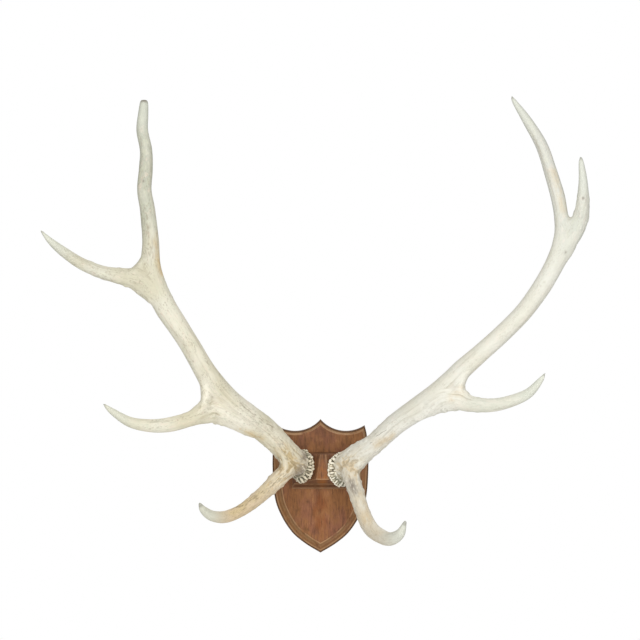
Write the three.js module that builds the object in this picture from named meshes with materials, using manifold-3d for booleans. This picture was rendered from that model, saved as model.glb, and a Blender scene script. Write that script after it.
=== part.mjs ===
// A pair of red deer antlers, four points each, on a wedge block and a carved wooden shield.
//
// Millimetres. The origin is the middle of the shield's back, which lies against the wall in
// the plane y = 0. X runs to the right seen from the front, Z runs up, and the antlers reach
// out from the wall along -Y. "Left" and "right" are as seen from the front.

import * as THREE from 'three';
import { LoftGeometry } from 'three/addons/geometries/LoftGeometry.js';
import { mergeVertices } from 'three/addons/utils/BufferGeometryUtils.js';
import Module from 'manifold-3d';

const wasm = await Module();
wasm.setup();

// ---------------------------------------------------------------- driving dimensions

const GAP = 0.3; // clearance between neighbouring pieces
const STATION_GAP = 0.01; // the same clearance as a share of the way between two stations
const FRONT = new THREE.Vector3(0, -1, 0); // away from the wall

// Shield: a heater shape with two scooped arcs along its top.
const SHIELD_PEAK = 124; // height of the middle point above the origin
const SHIELD_TIP = -122;
const SHIELD_CORNER = new THREE.Vector2(81.5, 112.5);
const SCOOP_CENTRE = new THREE.Vector2(47, 164);
const SCOOP_RADIUS = 62;
const FLANK = [[86, 90], [88.5, 40], [84.5, -18], [72.5, -53], [52.5, -84], [28, -105]]; // x, z
const SCOOP_STEPS = 7;
const FLANK_STEPS = 13;
const MOULDING_TOP_WIDTH = 6; // width of the moulded edge along the scoops
const MOULDING_SIDE_WIDTH = 16; // and along the sides and the bottom
const WIDENING = [30, 95]; // heights between which it widens
// Moulding profile: share of the moulding's width, and height above the shield's back.
const MOULDING = [[0, 0], [0, 10.5], [0.1, 12], [0.4, 12.6], [0.7, 14.6], [0.92, 18.4], [1, 20]];
const SHIELD_THICKNESS = 20;

// Block: a wedge with a narrow front edge and an undercut foot. Its side faces are the planes
// that the burrs sit on.
const BLOCK_HALF_WIDTH = 52;
const BLOCK_PROFILE = [
  // distance from the wall, height
  [SHIELD_THICKNESS + GAP, 64],
  [74, 64],
  [74, 18.5],
  [32, 7],
  [27, -1.5],
  [25, -3],
  [SHIELD_THICKNESS + GAP, -3],
];

// Burr: the knobbly ring at the foot of an antler, with its underside seated on the block.
const BURR_SEAT = 8.5; // from the middle of the ring down to the block's face
// Ring profile: height above the middle of the ring, and share of its outer radius.
const BURR_PROFILE = [
  [-BURR_SEAT + GAP, 0.66],
  [-6, 0.84],
  [-1.5, 0.93],
  [3, 0.86],
  [7, 0.74],
  [11, 0.62],
];
const BURR_SIDES = 24;
const PEARL_ROWS = [
  { count: 18, height: 4.5, reach: 0.8, size: 3.9, long: 1.5 },
  { count: 21, height: -2.5, reach: 0.92, size: 3.2, long: 1 },
];

// Limbs: oval sections with shallow lengthwise gutters.
const BEAM_MESH = { sides: 12, rowsPerStation: 2 };
const TINE_MESH = { sides: 10, rowsPerStation: 1.5 };
const WEB_MESH = { sides: 8, rowsPerStation: 1 };
const GUTTERS = 5;
const GUTTER_DEPTH = 0.045; // share of the section's size
const GUTTER_TWIST = 2.5; // turn of the gutters over a limb's length, in radians

// Every station of a limb: the x, y, z of its middle, its half-width seen from the front, and
// its half-depth from front to back. A beam runs from the burr to the tip of the inner top
// point; forks are counted in stations from the burr. A web is the bone that rounds off the
// crotch between the beam and a tine, and is drawn in the same way along the crotch.
const ANTLERS = {
  left: {
    burr: { centre: [-33, -55, 41], axis: [-0.73, -0.67, 0.12], radius: 31.5 },
    forks: { tray: 7, top: 12.5 },
    beam: [
      [-36, -60, 44, 22, 22],
      [-53, -81, 60.5, 21.5, 22],
      [-75, -109, 87, 21.2, 21],
      [-97, -135, 110.5, 23, 20],
      [-127, -166, 137, 22, 19],
      [-159, -196, 166, 21.5, 18],
      [-182, -218, 193, 20.5, 17.5],
      [-200, -237, 223, 18, 17],
      [-218, -253, 256, 17.5, 16],
      [-238, -266, 290, 17.5, 15.5],
      [-263, -278, 331, 19, 15],
      [-278, -284, 366, 18, 14],
      [-286, -288, 399, 17, 13.5],
      [-286, -289, 440, 14.5, 13],
      [-291, -287, 491, 13, 12],
      [-297, -283, 526, 12.5, 11.5],
      [-295, -279, 560, 12, 11],
      [-295, -274, 594, 10.5, 10],
      [-302, -269, 628, 10, 9.5],
      [-301, -265, 654, 9, 9],
      [-300, -261, 673, 7.5, 7.5],
      [-300, -260, 681, 6, 6],
    ],
    tines: {
      brow_tine: [
        [-54, -83, 42, 17, 18],
        [-66, -93, 30.5, 14.5, 17],
        [-79.5, -103, 18.3, 14.8, 15],
        [-94, -112, 4.5, 13.3, 13],
        [-115, -132, -12, 12.5, 12],
        [-140, -150, -29, 11, 11],
        [-166, -168, -38, 11, 10],
        [-188, -190, -34, 9.5, 9],
        [-202, -208, -22, 7, 6.5],
        [-208, -220, -10, 3, 3],
      ],
      tray_tine: [
        [-110, -150, 109, 13, 14],
        [-128, -165, 120.5, 16, 13],
        [-161, -198, 144, 23, 14],
        [-184, -214, 152.5, 25, 14],
        [-205, -230, 149, 20.5, 13],
        [-222, -245, 138, 13.5, 12.5],
        [-254, -265, 130, 13, 11.5],
        [-286, -285, 129, 11.5, 10.5],
        [-319, -302, 136, 9, 8.5],
        [-348, -315, 155, 5.5, 5.5],
        [-362, -321, 168, 1.5, 1.5],
      ],
      outer_top_tine: [
        [-269, -281, 338, 14, 11],
        [-282, -285, 353, 19, 12],
        [-293, -289, 366, 22, 12.5],
        [-309, -295, 375, 19.5, 12.5],
        [-328, -300, 379, 15, 12],
        [-362, -310, 386, 11.5, 11],
        [-396, -321, 400, 10.5, 9.5],
        [-426, -332, 420, 8.5, 8],
        [-447, -341, 438, 5.5, 5.5],
        [-462, -347, 455, 1.5, 1.5],
      ],
    },
    webs: {
      brow_tine: [
        [-94, -134, 99, 9, 14],
        [-78, -116, 82, 9, 15],
        [-67, -104, 66, 9, 16],
        [-63, -98, 51, 9, 16],
        [-64, -96, 38, 9, 15],
        [-72, -101, 27, 9, 14],
        [-84, -107, 14, 8, 12],
      ],
      tray_tine: [
        [-231, -256, 263, 7, 10],
        [-214, -244, 235, 9, 12],
        [-200, -230, 203, 9, 13],
        [-197, -227, 184, 9, 13],
        [-200, -230, 163, 9, 12],
        [-217, -242, 140, 8.5, 11],
        [-253, -260, 133, 7, 9],
      ],
      outer_top_tine: [
        [-352, -308, 384, 7, 9],
        [-329, -301, 382, 9, 11],
        [-313, -296, 387, 9, 12],
        [-303, -291, 396, 9, 12],
        [-295, -288, 409, 9, 12],
        [-289, -288, 424, 8, 11],
        [-288, -288, 445, 6, 9],
      ],
    },
  },
  right: {
    burr: { centre: [38, -65, 36], axis: [0.615, -0.788, 0.07], radius: 33 },
    forks: { tray: 8, top: 14.5 },
    beam: [
      [42, -71, 40, 23, 22],
      [57, -95, 55, 24, 22],
      [78, -121, 74, 20, 20],
      [97, -142, 90, 18, 18],
      [130, -179, 124, 18.5, 17.5],
      [165, -214, 152, 20, 17.5],
      [199, -242, 181, 18.5, 17],
      [222, -259, 204, 17.5, 16.5],
      [241, -272, 225, 17, 16],
      [270, -286, 252, 15.5, 15],
      [305, -298, 284, 15, 14.5],
      [339, -306, 320, 15, 14],
      [369, -312, 362, 16, 13.5],
      [393, -315, 405, 16.5, 13.5],
      [408, -314, 440, 20, 13],
      [402, -313, 478, 12.5, 12],
      [396, -311, 514, 12, 11.5],
      [384, -307, 557, 11, 11],
      [370, -302, 600, 10, 10],
      [347, -297, 641, 8, 8],
      [327, -293, 672, 4.5, 4.5],
      [321, -292, 683, 1.5, 1.5],
    ],
    tines: {
      brow_tine: [
        [52, -100, 42, 17, 18],
        [56.5, -117, 22, 14.5, 17],
        [65, -143, -3, 13.8, 14.5],
        [74, -172, -30, 13, 14],
        [87, -205, -54, 13.7, 13.5],
        [104, -236, -64, 12.7, 12.5],
        [119, -262, -65, 11.5, 11],
        [134, -285, -53, 8.5, 8],
        [142, -298, -32, 3, 3],
      ],
      tray_tine: [
        [160, -214, 141, 13, 12],
        [182, -232, 154, 14.5, 12],
        [209, -254, 171, 22, 14],
        [233, -269, 174, 22, 14],
        [252, -280, 167, 15.5, 13],
        [285, -297, 164, 12, 11.5],
        [316, -313, 171, 10.5, 10],
        [345, -326, 185, 8.5, 8],
        [364, -336, 207, 5, 5],
        [371, -341, 219, 1.5, 1.5],
      ],
      outer_top_tine: [
        [411, -315, 428, 12, 11],
        [423, -318, 454, 15, 12],
        [433, -321, 479, 13.5, 11.5],
        [436, -325, 506, 10.5, 10],
        [435, -333, 538, 7.5, 7],
        [431, -340, 567, 4.5, 4.5],
        [430, -342, 577, 1.5, 1.5],
      ],
    },
    webs: {
      brow_tine: [
        [80, -124, 61, 8, 14],
        [69, -114, 51, 9, 16],
        [58, -106, 37, 9, 17],
        [57, -115, 23, 9, 16],
        [60, -128, 10, 8, 13],
      ],
      tray_tine: [
        [271, -287, 248, 7, 10],
        [253, -279, 229, 9, 12],
        [242, -273, 214, 9, 13],
        [236, -270, 197, 9, 13],
        [238, -271, 179, 8, 13],
        [247, -276, 166, 8, 12],
        [262, -284, 161, 8, 10],
      ],
      outer_top_tine: [
        [399, -312, 501, 5.5, 8],
        [403, -313, 476, 8, 10],
        [417, -316, 469, 8.5, 11],
        [433, -319, 479, 8, 10],
        [436, -321, 498, 5.5, 8],
      ],
    },
  },
};

// ---------------------------------------------------------------- materials

const antlerMaterial = new THREE.MeshStandardMaterial({ color: 0xe2dcc4, roughness: 0.6, metalness: 0 });
const shieldMaterial = new THREE.MeshStandardMaterial({ color: 0x87583e, roughness: 0.5, metalness: 0 });
const blockMaterial = new THREE.MeshStandardMaterial({ color: 0x96653f, roughness: 0.5, metalness: 0 });

// ---------------------------------------------------------------- solids

// Turns a closed geometry into a solid that can be joined and cut.
function toSolid(geometry) {
  const bare = new THREE.BufferGeometry();
  bare.setAttribute('position', geometry.attributes.position);
  bare.setIndex(geometry.index);
  const merged = mergeVertices(bare);
  return new wasm.Manifold(new wasm.Mesh({
    numProp: 3,
    vertProperties: new Float32Array(merged.attributes.position.array),
    triVerts: new Uint32Array(merged.index.array),
  }));
}

function toMesh(name, solid, material) {
  const { vertProperties, triVerts } = solid.getMesh();
  const geometry = new THREE.BufferGeometry();
  geometry.setAttribute('position', new THREE.BufferAttribute(new Float32Array(vertProperties), 3));
  geometry.setIndex(new THREE.BufferAttribute(new Uint32Array(triVerts), 1));
  geometry.computeVertexNormals();
  const mesh = new THREE.Mesh(geometry, material);
  mesh.name = name;
  return mesh;
}

// ---------------------------------------------------------------- shield

// The right half of the outline, from the peak down to the tip.
function halfOutline() {
  const armTo = (x, z) => Math.atan2(z - SCOOP_CENTRE.y, x - SCOOP_CENTRE.x) + 2 * Math.PI;
  const scoop = new THREE.EllipseCurve(
    SCOOP_CENTRE.x, SCOOP_CENTRE.y, SCOOP_RADIUS, SCOOP_RADIUS,
    armTo(0, SHIELD_PEAK), armTo(SHIELD_CORNER.x, SHIELD_CORNER.y));
  const flank = new THREE.SplineCurve([
    SHIELD_CORNER,
    ...FLANK.map(([x, z]) => new THREE.Vector2(x, z)),
    new THREE.Vector2(0, SHIELD_TIP),
  ]);
  const points = [...scoop.getPoints(SCOOP_STEPS).slice(0, -1), ...flank.getSpacedPoints(FLANK_STEPS)];
  points[0].x = 0;
  points[points.length - 1].x = 0;
  return points;
}

// The whole outline, anticlockwise seen from the front, starting at the peak.
function shieldOutline() {
  const right = halfOutline();
  const left = right.slice(0, -1).map(({ x, y }) => new THREE.Vector2(-x, y));
  return [...left, ...right.slice(1).reverse()];
}

// Moves the outline inwards by a share of its moulding's width, with mitred corners.
function insetOutline(outline, share) {
  const inward = (from, to) => new THREE.Vector2(from.y - to.y, to.x - from.x).normalize();
  return outline.map((point, i) => {
    const before = inward(outline[(i + outline.length - 1) % outline.length], point);
    const after = inward(point, outline[(i + 1) % outline.length]);
    const widening = 1 - THREE.MathUtils.smoothstep(point.y, ...WIDENING);
    const width = THREE.MathUtils.lerp(MOULDING_TOP_WIDTH, MOULDING_SIDE_WIDTH, widening);
    const mitre = before.clone().add(after).divideScalar(1 + before.dot(after));
    return point.clone().addScaledVector(mitre, width * share);
  });
}

function shieldSolid() {
  const outline = shieldOutline();
  const sections = MOULDING.map(([share, height]) =>
    insetOutline(outline, share).map(({ x, y }) => new THREE.Vector3(x, -height, y)));
  return toSolid(new LoftGeometry(sections, { capStart: true, capEnd: true }));
}

// ---------------------------------------------------------------- block

function blockSolid() {
  const profile = new THREE.Shape(BLOCK_PROFILE.map(([out, z]) => new THREE.Vector2(-out, z)));
  const bar = new THREE.ExtrudeGeometry(profile, { depth: 2 * BLOCK_HALF_WIDTH, bevelEnabled: false });
  // The profile is drawn in the bar's own X and Y, which become the part's Y and Z.
  const upright = new THREE.Matrix4().makeBasis(
    new THREE.Vector3(0, 1, 0), new THREE.Vector3(0, 0, 1), new THREE.Vector3(1, 0, 0));
  bar.applyMatrix4(upright).translate(-BLOCK_HALF_WIDTH, 0, 0);
  let block = toSolid(bar);
  for (const { burr } of Object.values(ANTLERS)) {
    const axis = new THREE.Vector3(...burr.axis).normalize();
    const seat = axis.dot(new THREE.Vector3(...burr.centre)) - BURR_SEAT;
    block = block.trimByPlane(axis.clone().negate().toArray(), -seat);
  }
  return block;
}

// ---------------------------------------------------------------- antlers

// One cross-section of a limb, anticlockwise seen from the limb's tip.
function limbSection(route, sizes, t, sides, grow) {
  const middle = route.getPoint(t);
  const size = sizes.getPoint(t);
  const along = route.getTangent(t);
  const across = new THREE.Vector3().crossVectors(FRONT, along).normalize();
  const deep = new THREE.Vector3().crossVectors(along, across);
  const ring = [];
  for (let i = 0; i < sides; i += 1) {
    const angle = (2 * Math.PI * i) / sides;
    const gutter = 1 + GUTTER_DEPTH * Math.cos(GUTTERS * angle + GUTTER_TWIST * t);
    ring.push(middle.clone()
      .addScaledVector(across, (size.x * gutter + grow) * Math.cos(angle))
      .addScaledVector(deep, (size.y * gutter + grow) * Math.sin(angle)));
  }
  return ring;
}

// A limb swept through its stations, or the stretch of it between two stations.
function limbSolid(stations, { sides, rowsPerStation }, stretch = {}) {
  const { from = 0, to = stations.length - 1, grow = 0 } = stretch;
  const route = new THREE.CatmullRomCurve3(stations.map(([x, y, z]) => new THREE.Vector3(x, y, z)));
  const sizes = new THREE.CatmullRomCurve3(
    stations.map(([, , , across, deep]) => new THREE.Vector3(across, deep, 0)), false, 'catmullrom');
  const sections = [];
  let station = from;
  while (station <= to) {
    sections.push(limbSection(route, sizes, station / (stations.length - 1), sides, grow));
    station = (Math.floor(station * rowsPerStation) + 1) / rowsPerStation;
  }
  return toSolid(new LoftGeometry(sections, { capStart: true, capEnd: true }));
}

// The burr's own frame: its axis is Z, and its origin is the middle of the ring.
function burrPlacement(burr) {
  const axis = new THREE.Vector3(...burr.axis).normalize();
  const across = new THREE.Vector3().crossVectors(FRONT, axis).normalize();
  const deep = new THREE.Vector3().crossVectors(axis, across);
  return new THREE.Matrix4().makeBasis(across, deep, axis).setPosition(...burr.centre);
}

function burrRing(burr, grow) {
  const sections = BURR_PROFILE.map(([height, share]) => {
    const ring = [];
    for (let i = 0; i < BURR_SIDES; i += 1) {
      const angle = (2 * Math.PI * i) / BURR_SIDES;
      const radius = burr.radius * share + grow;
      ring.push(new THREE.Vector3(radius * Math.cos(angle), radius * Math.sin(angle), height));
    }
    return ring;
  });
  const loft = new LoftGeometry(sections, { capStart: true, capEnd: true });
  return toSolid(loft.applyMatrix4(burrPlacement(burr)));
}

// The pearls: rows of rough knobs of uneven size round the burr, long across the ring.
function burrPearls(burr, grow) {
  THREE.MathUtils.seededRandom(Math.round(burr.radius * 10));
  const pearls = [];
  for (const { count, height, reach, size, long } of PEARL_ROWS) {
    for (let i = 0; i < count; i += 1) {
      const angle = (2 * Math.PI * (i + 0.4 * THREE.MathUtils.seededRandom())) / count;
      const radius = size * (0.75 + 0.4 * THREE.MathUtils.seededRandom()) + grow;
      const knob = new THREE.IcosahedronGeometry(radius)
        .scale(long, 0.95, 0.95)
        .translate(burr.radius * reach, 0, height)
        .rotateZ(angle)
        .applyMatrix4(burrPlacement(burr));
      pearls.push(toSolid(knob));
    }
  }
  return wasm.Manifold.union(pearls);
}

function burrSolid(burr, grow = 0) {
  return burrRing(burr, grow).add(burrPearls(burr, grow));
}

// One antler: the beam parted just above its two forks, and a piece for each side tine.
function antlerPieces(side) {
  const { burr, forks, beam, tines, webs } = ANTLERS[side];
  const beamPart = (stretch) => limbSolid(beam, BEAM_MESH, stretch);
  const pieces = {
    lower_beam: beamPart({ to: forks.tray }).add(burrSolid(burr)),
    upper_beam: beamPart({ from: forks.tray + STATION_GAP, to: forks.top }),
    inner_top_tine: beamPart({ from: forks.top + STATION_GAP }),
  };
  const clearance = beamPart({ grow: GAP }).add(burrSolid(burr, GAP));
  for (const [name, stations] of Object.entries(tines)) {
    const web = limbSolid(webs[name], WEB_MESH);
    const [tine] = limbSolid(stations, TINE_MESH).add(web).subtract(clearance).decompose()
      .sort((a, b) => b.volume() - a.volume());
    pieces[name] = tine;
  }
  const group = new THREE.Group();
  for (const [name, solid] of Object.entries(pieces)) {
    group.add(toMesh(`${side}_${name}`, solid, antlerMaterial));
  }
  return group;
}

// ---------------------------------------------------------------- assembly

const trophy = new THREE.Group();
trophy.add(toMesh('shield', shieldSolid(), shieldMaterial));
trophy.add(toMesh('mounting_block', blockSolid(), blockMaterial));
for (const side of Object.keys(ANTLERS)) trophy.add(antlerPieces(side));

export default trophy;
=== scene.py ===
"""A pair of red deer antlers on a carved shield: the fine surfaces, materials, light and camera.

Everything is in metres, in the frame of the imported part: the origin is the middle of the
shield's back, +Z is up, and the antlers reach out from the wall along -Y. "Left" and "right" are
as seen from the front. Sizes that the part shares with its source are given in millimetres and
turned into metres where they are used.
"""

import math

import bmesh
import bpy
import numpy as np
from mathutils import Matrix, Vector, noise


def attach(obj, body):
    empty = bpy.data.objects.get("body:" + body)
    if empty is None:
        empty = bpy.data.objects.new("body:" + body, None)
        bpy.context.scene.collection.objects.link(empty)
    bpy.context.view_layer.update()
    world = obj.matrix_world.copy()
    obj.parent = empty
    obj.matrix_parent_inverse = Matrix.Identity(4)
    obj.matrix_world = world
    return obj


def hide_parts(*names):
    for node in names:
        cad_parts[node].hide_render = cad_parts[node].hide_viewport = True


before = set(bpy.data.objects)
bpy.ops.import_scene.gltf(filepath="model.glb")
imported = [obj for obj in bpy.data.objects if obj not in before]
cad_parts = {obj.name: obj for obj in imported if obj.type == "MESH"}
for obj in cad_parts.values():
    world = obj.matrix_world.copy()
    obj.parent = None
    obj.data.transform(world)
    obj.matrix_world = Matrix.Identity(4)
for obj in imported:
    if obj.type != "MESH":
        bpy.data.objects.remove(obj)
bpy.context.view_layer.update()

MM = 0.001
FRONT = np.array([0.0, -1.0, 0.0])
PHOTO_SIDE = 640

# ---- antler: driving sizes, in mm

# A burr's middle, the way it faces, and its radius over the ring.
BURRS = {
    "left": {"centre": [-33, -55, 41], "axis": [-0.73, -0.67, 0.12], "radius": 31.5},
    "right": {"centre": [38, -65, 36], "axis": [0.615, -0.788, 0.07], "radius": 33},
}
# Every station of a limb: the x, y, z of its middle, its half-width seen from the front, and its
# half-depth from front to back. A beam runs from the burr to the tip of the inner top point.
LIMBS = {
    "left": {
        "beam": [
            [-36, -60, 44, 22, 22], [-53, -81, 60.5, 21.5, 22], [-75, -109, 87, 21.2, 21],
            [-97, -135, 110.5, 23, 20], [-127, -166, 137, 22, 19], [-159, -196, 166, 21.5, 18],
            [-182, -218, 193, 20.5, 17.5], [-200, -237, 223, 18, 17], [-218, -253, 256, 17.5, 16],
            [-238, -266, 290, 17.5, 15.5], [-263, -278, 331, 19, 15], [-278, -284, 366, 18, 14],
            [-286, -288, 399, 17, 13.5], [-286, -289, 440, 14.5, 13], [-291, -287, 491, 13, 12],
            [-297, -283, 526, 12.5, 11.5], [-295, -279, 560, 12, 11], [-295, -274, 594, 10.5, 10],
            [-302, -269, 628, 10, 9.5], [-301, -265, 654, 9, 9], [-300, -261, 673, 7.5, 7.5],
            [-300, -260, 681, 6, 6],
        ],
        "brow_tine": [
            [-54, -83, 42, 17, 18], [-66, -93, 30.5, 14.5, 17], [-79.5, -103, 18.3, 14.8, 15],
            [-94, -112, 4.5, 13.3, 13], [-115, -132, -12, 12.5, 12], [-140, -150, -29, 11, 11],
            [-166, -168, -38, 11, 10], [-188, -190, -34, 9.5, 9], [-202, -208, -22, 7, 6.5],
            [-208, -220, -10, 3, 3],
        ],
        "tray_tine": [
            [-110, -150, 109, 13, 14], [-128, -165, 120.5, 16, 13], [-161, -198, 144, 23, 14],
            [-184, -214, 152.5, 25, 14], [-203.5, -229, 146, 19, 13], [-222, -245, 138, 13.5, 12.5],
            [-254, -265, 130, 13, 11.5], [-286, -285, 129, 11.5, 10.5], [-319, -302, 136, 9, 8.5],
            [-348, -315, 155, 5.5, 5.5], [-362, -321, 168, 1.5, 1.5],
        ],
        "outer_top_tine": [
            [-269, -281, 338, 14, 11], [-282, -285, 353, 19, 12], [-293, -289, 366, 22, 12.5],
            [-309, -295, 375, 19.5, 12.5], [-328, -300, 379, 15, 12], [-362, -310, 386, 11.5, 11],
            [-396, -321, 400, 10.5, 9.5], [-426, -332, 420, 8.5, 8], [-447, -341, 438, 5.5, 5.5],
            [-462, -347, 455, 1.5, 1.5],
        ],
    },
    "right": {
        "beam": [
            [42, -71, 40, 23, 22], [57, -95, 55, 24, 22], [78, -121, 74, 20, 20],
            [97, -142, 90, 18, 18], [130, -179, 124, 18.5, 17.5], [165, -214, 152, 20, 17.5],
            [199, -242, 181, 18.5, 17], [222, -259, 204, 17.5, 16.5], [241, -272, 225, 17, 16],
            [270, -286, 252, 15.5, 15], [305, -298, 284, 15, 14.5], [339, -306, 320, 15, 14],
            [369, -312, 362, 16, 13.5], [393, -315, 405, 16.5, 13.5], [408, -314, 440, 20, 13],
            [402, -313, 478, 12.5, 12], [396, -311, 514, 12, 11.5], [384, -307, 557, 11, 11],
            [370, -302, 600, 10, 10], [347, -297, 641, 8, 8], [327, -293, 672, 4.5, 4.5],
            [321, -292, 683, 1.5, 1.5],
        ],
        "brow_tine": [
            [52, -100, 42, 17, 18], [56.5, -117, 22, 14.5, 17], [65, -143, -3, 13.8, 14.5],
            [74, -172, -30, 13, 14], [87, -205, -54, 13.7, 13.5], [104, -236, -64, 12.7, 12.5],
            [119, -262, -65, 11.5, 11], [134, -285, -53, 8.5, 8], [142, -298, -32, 3, 3],
        ],
        "tray_tine": [
            [160, -214, 141, 13, 12], [182, -232, 154, 14.5, 12], [209, -254, 171, 22, 14],
            [233, -269, 172.5, 20.5, 14], [252, -280, 166, 14.5, 13], [285, -297, 164, 12, 11.5],
            [316, -313, 171, 10.5, 10], [345, -326, 185, 8.5, 8], [364, -336, 207, 5, 5],
            [371, -341, 219, 1.5, 1.5],
        ],
        "outer_top_tine": [
            [411, -315, 428, 12, 11], [423, -318, 454, 15, 12], [433, -321, 479, 13.5, 11.5],
            [436, -325, 506, 10.5, 10], [435, -333, 538, 7.5, 7], [431, -340, 567, 4.5, 4.5],
            [430, -342, 577, 1.5, 1.5],
        ],
    },
}
# The bone that fills the crotches at the root of each tine, in stations of the same form.
WEBS = {
    "left": {
        "brow_tine": [
            [-94, -134, 99, 9, 14], [-78, -116, 82, 9, 15], [-67, -104, 66, 9, 16],
            [-63, -98, 51, 9, 16], [-64, -96, 38, 9, 15], [-72, -101, 27, 9, 14],
            [-84, -107, 14, 8, 12],
        ],
        "tray_tine": [
            [-231, -256, 263, 7, 10], [-214, -244, 235, 9, 12], [-200, -230, 203, 9, 13],
            [-197, -227, 184, 9, 13], [-199, -230, 162, 9, 12], [-217, -242, 142, 8.5, 11],
            [-253, -260, 133, 7, 9],
        ],
        "outer_top_tine": [
            [-352, -308, 384, 7, 9], [-329, -301, 382, 9, 11], [-313, -296, 387, 9, 12],
            [-303, -291, 396, 9, 12], [-295, -288, 409, 9, 12], [-289, -288, 424, 8, 11],
            [-288, -288, 445, 6, 9],
        ],
    },
    "right": {
        "brow_tine": [
            [80, -124, 61, 8, 14], [69, -114, 51, 9, 16], [58, -106, 37, 9, 17], [57, -115, 23, 9, 16],
            [60, -128, 10, 8, 13],
        ],
        "tray_tine": [
            [271, -287, 248, 7, 10], [253, -279, 229, 9, 12], [242, -273, 214, 9, 13],
            [236, -270, 197, 9, 13], [237, -271, 178, 8, 13], [246, -276, 165, 8, 12],
            [262, -284, 161, 8, 10],
        ],
        "outer_top_tine": [
            [399, -312, 501, 5.5, 8], [402, -313, 475, 7, 10], [417, -316, 466, 8, 11],
            [433, -319, 479, 8, 10], [436, -321, 498, 5.5, 8],
        ],
    },
}
NODES = ("lower_beam", "upper_beam", "inner_top_tine", "outer_top_tine", "tray_tine", "brow_tine")

STEPS_PER_STATION = 8
SMALLEST_HALF = 0.5
POINTS_AT_A_TIME = 20000
LIMB_SIDES = 40
LIMB_VOXEL = 1.6
CROTCH_VOXEL = 2.2
FILLET_ROUNDS = 40
PARTING = 6  # how softly one limb's relief and grain give way to the next at a fork
EASED_START = 6  # length over which a tine or a web swells out of the bone that it starts in
BLUNT_ROUNDING = 0.22  # share by which the blunt tip narrows over its last millimetres
PITH_RADIUS = 2.6  # the spongy middle that shows in the blunt tip of the left beam
PITH_DEPTH = 1.4

# Burr ring: height above the middle of the ring, and share of its outer radius.
BURR_PROFILE = [[-8.2, 0.68], [-6, 0.76], [-3, 0.84], [0, 0.88], [3, 0.85], [6, 0.75], [9.5, 0.65]]
BURR_CORE = 0.5
BURR_SIDES = 96
BURR_VOXEL = 0.8
BURR_EDGE = (8, 12)  # heights over which the burr's colour gives way to the beam's
BURR_REACH = 20  # distance from the burr within which its colour can lie
PEARL_SEED = {"left": 7, "right": 8}
# Rows of pearls: a fused rim, long teeth that lie over the ring's shoulder, and small grains.
PEARL_ROWS = [
    {"count": 36, "height": -0.5, "reach": 0.89, "size": 3.0, "long": 0.9, "tilt": 0.0},
    {"count": 25, "height": -4.2, "reach": 0.78, "size": 2.6, "long": 1.0, "tilt": 0.0},
    {"count": 19, "height": 4.4, "reach": 0.81, "size": 2.8, "long": 2.2, "tilt": 0.75},
    {"count": 13, "height": 9.3, "reach": 0.68, "size": 1.6, "long": 1.5, "tilt": 0.9},
]
TEETH = (-1, 2, 9.5, 12.5)  # heights over which the gaps between the teeth hold old dirt, with soft ends

# Worn ridges on the front of the beams, as x, z points from the front. The hollows beside them
# have the x and z of their middle, a radius and a depth.
RIDGES = {
    "left": [
        [[-256, 308], [-217, 253], [-190, 205], [-155, 164], [-133, 145], [-110, 125], [-87, 102]],
        [[-222, 138], [-186, 141], [-164, 138], [-139, 128], [-118, 114], [-99, 96]],
    ],
    "right": [
        [[214, 176], [173, 138], [140, 118], [110, 86]],
    ],
}
RIDGE_HEIGHT = 1.3
RIDGE_WIDTH = 3.0
HOLLOWS = {
    "left": [[-180, 158, 16, 1.8], [-158, 146, 13, 1.4], [-196, 184, 11, 0.8]],
    "right": [[232, 190, 15, 1.2], [425, 452, 10, 0.8]],
}

# Marks on the front of the bone: kind, the x, z points of a line, and the reach to each side.
MARKS = {
    "left": [
        ["pitted", [[-137, 161], [-115, 143], [-98, 128], [-80, 113]], 4.5],
        ["pitted", [[-72, 92], [-66, 80], [-58, 62]], 7],
        ["pitted", [[-66, 30], [-94, 5], [-120, -8], [-150, -26]], 6],
        ["warm", [[-146, 118], [-124, 109], [-103, 97]], 6],
        ["warm", [[-66, 76], [-58, 50], [-40, 44]], 12],
        ["warm", [[-78, 26], [-98, 8], [-124, -10], [-152, -27]], 8],
        ["warm", [[-281, 450], [-275, 420], [-267, 385]], 6],
        ["pitted", [[-291, 478], [-287, 440], [-283, 404]], 5],
        ["dusk", [[-297, 540], [-297, 541]], 2],
        ["dusk", [[-31, 42], [-34, 32], [-42, 22]], 12],
        ["dusk", [[-24, 70], [-29, 58]], 8],
        ["dusk", [[-302, 680], [-296, 680]], 4],
        ["green", [[-292, 480], [-298, 680]], 28],
        # painted light: lighter bone on the forks and near the base
        ["painted_light", [[-205, 190], [-172, 152], [-140, 130]], 26],
        ["painted_light", [[-96, 112], [-66, 84]], 14],
    ],
    "right": [
        ["cracked", [[96, 102], [106, 109], [115, 116]], 3],
        ["cracked", [[86, 88], [91, 93]], 3],
        ["warm", [[98, 88], [112, 96], [126, 103]], 9],
        ["warm", [[36, 54], [54, 44], [66, 30]], 14],
        ["warm", [[70, 0], [74, -20], [80, -40]], 8],
        ["warm", [[238, 188], [224, 176]], 8],
        ["warm", [[388, 556], [399, 520], [404, 490]], 6],
        ["dusk", [[435, 508], [435, 509]], 2],
        ["dusk", [[406, 419], [407, 420]], 2],
        ["dusk", [[54, 20], [60, 6]], 7],
        ["dusk", [[27, 24], [34, 17], [39, 8]], 6],
        ["green", [[420, 470], [440, 420]], 25],
        ["green", [[262, 164], [318, 172], [370, 218]], 16],
        # painted light: lighter bone along the lower beam and its forks
        ["painted_light", [[230, 190], [180, 142], [120, 112], [76, 74]], 22],
    ],
}
MARK_KINDS = ("pitted", "cracked", "warm", "dusk", "green", "painted_light")
# Hairline cracks: the x, z points of their ends, in mm.
CRACKS = {
    "left": [],
    "right": [[[97, 103], [114.5, 115.5]], [[87, 89], [90.5, 92.5]]],
}
CRACK_HALF_WIDTH = 0.35
CRACK_WAVER = 3

# ---- shield and block sizes, in mm

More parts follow.
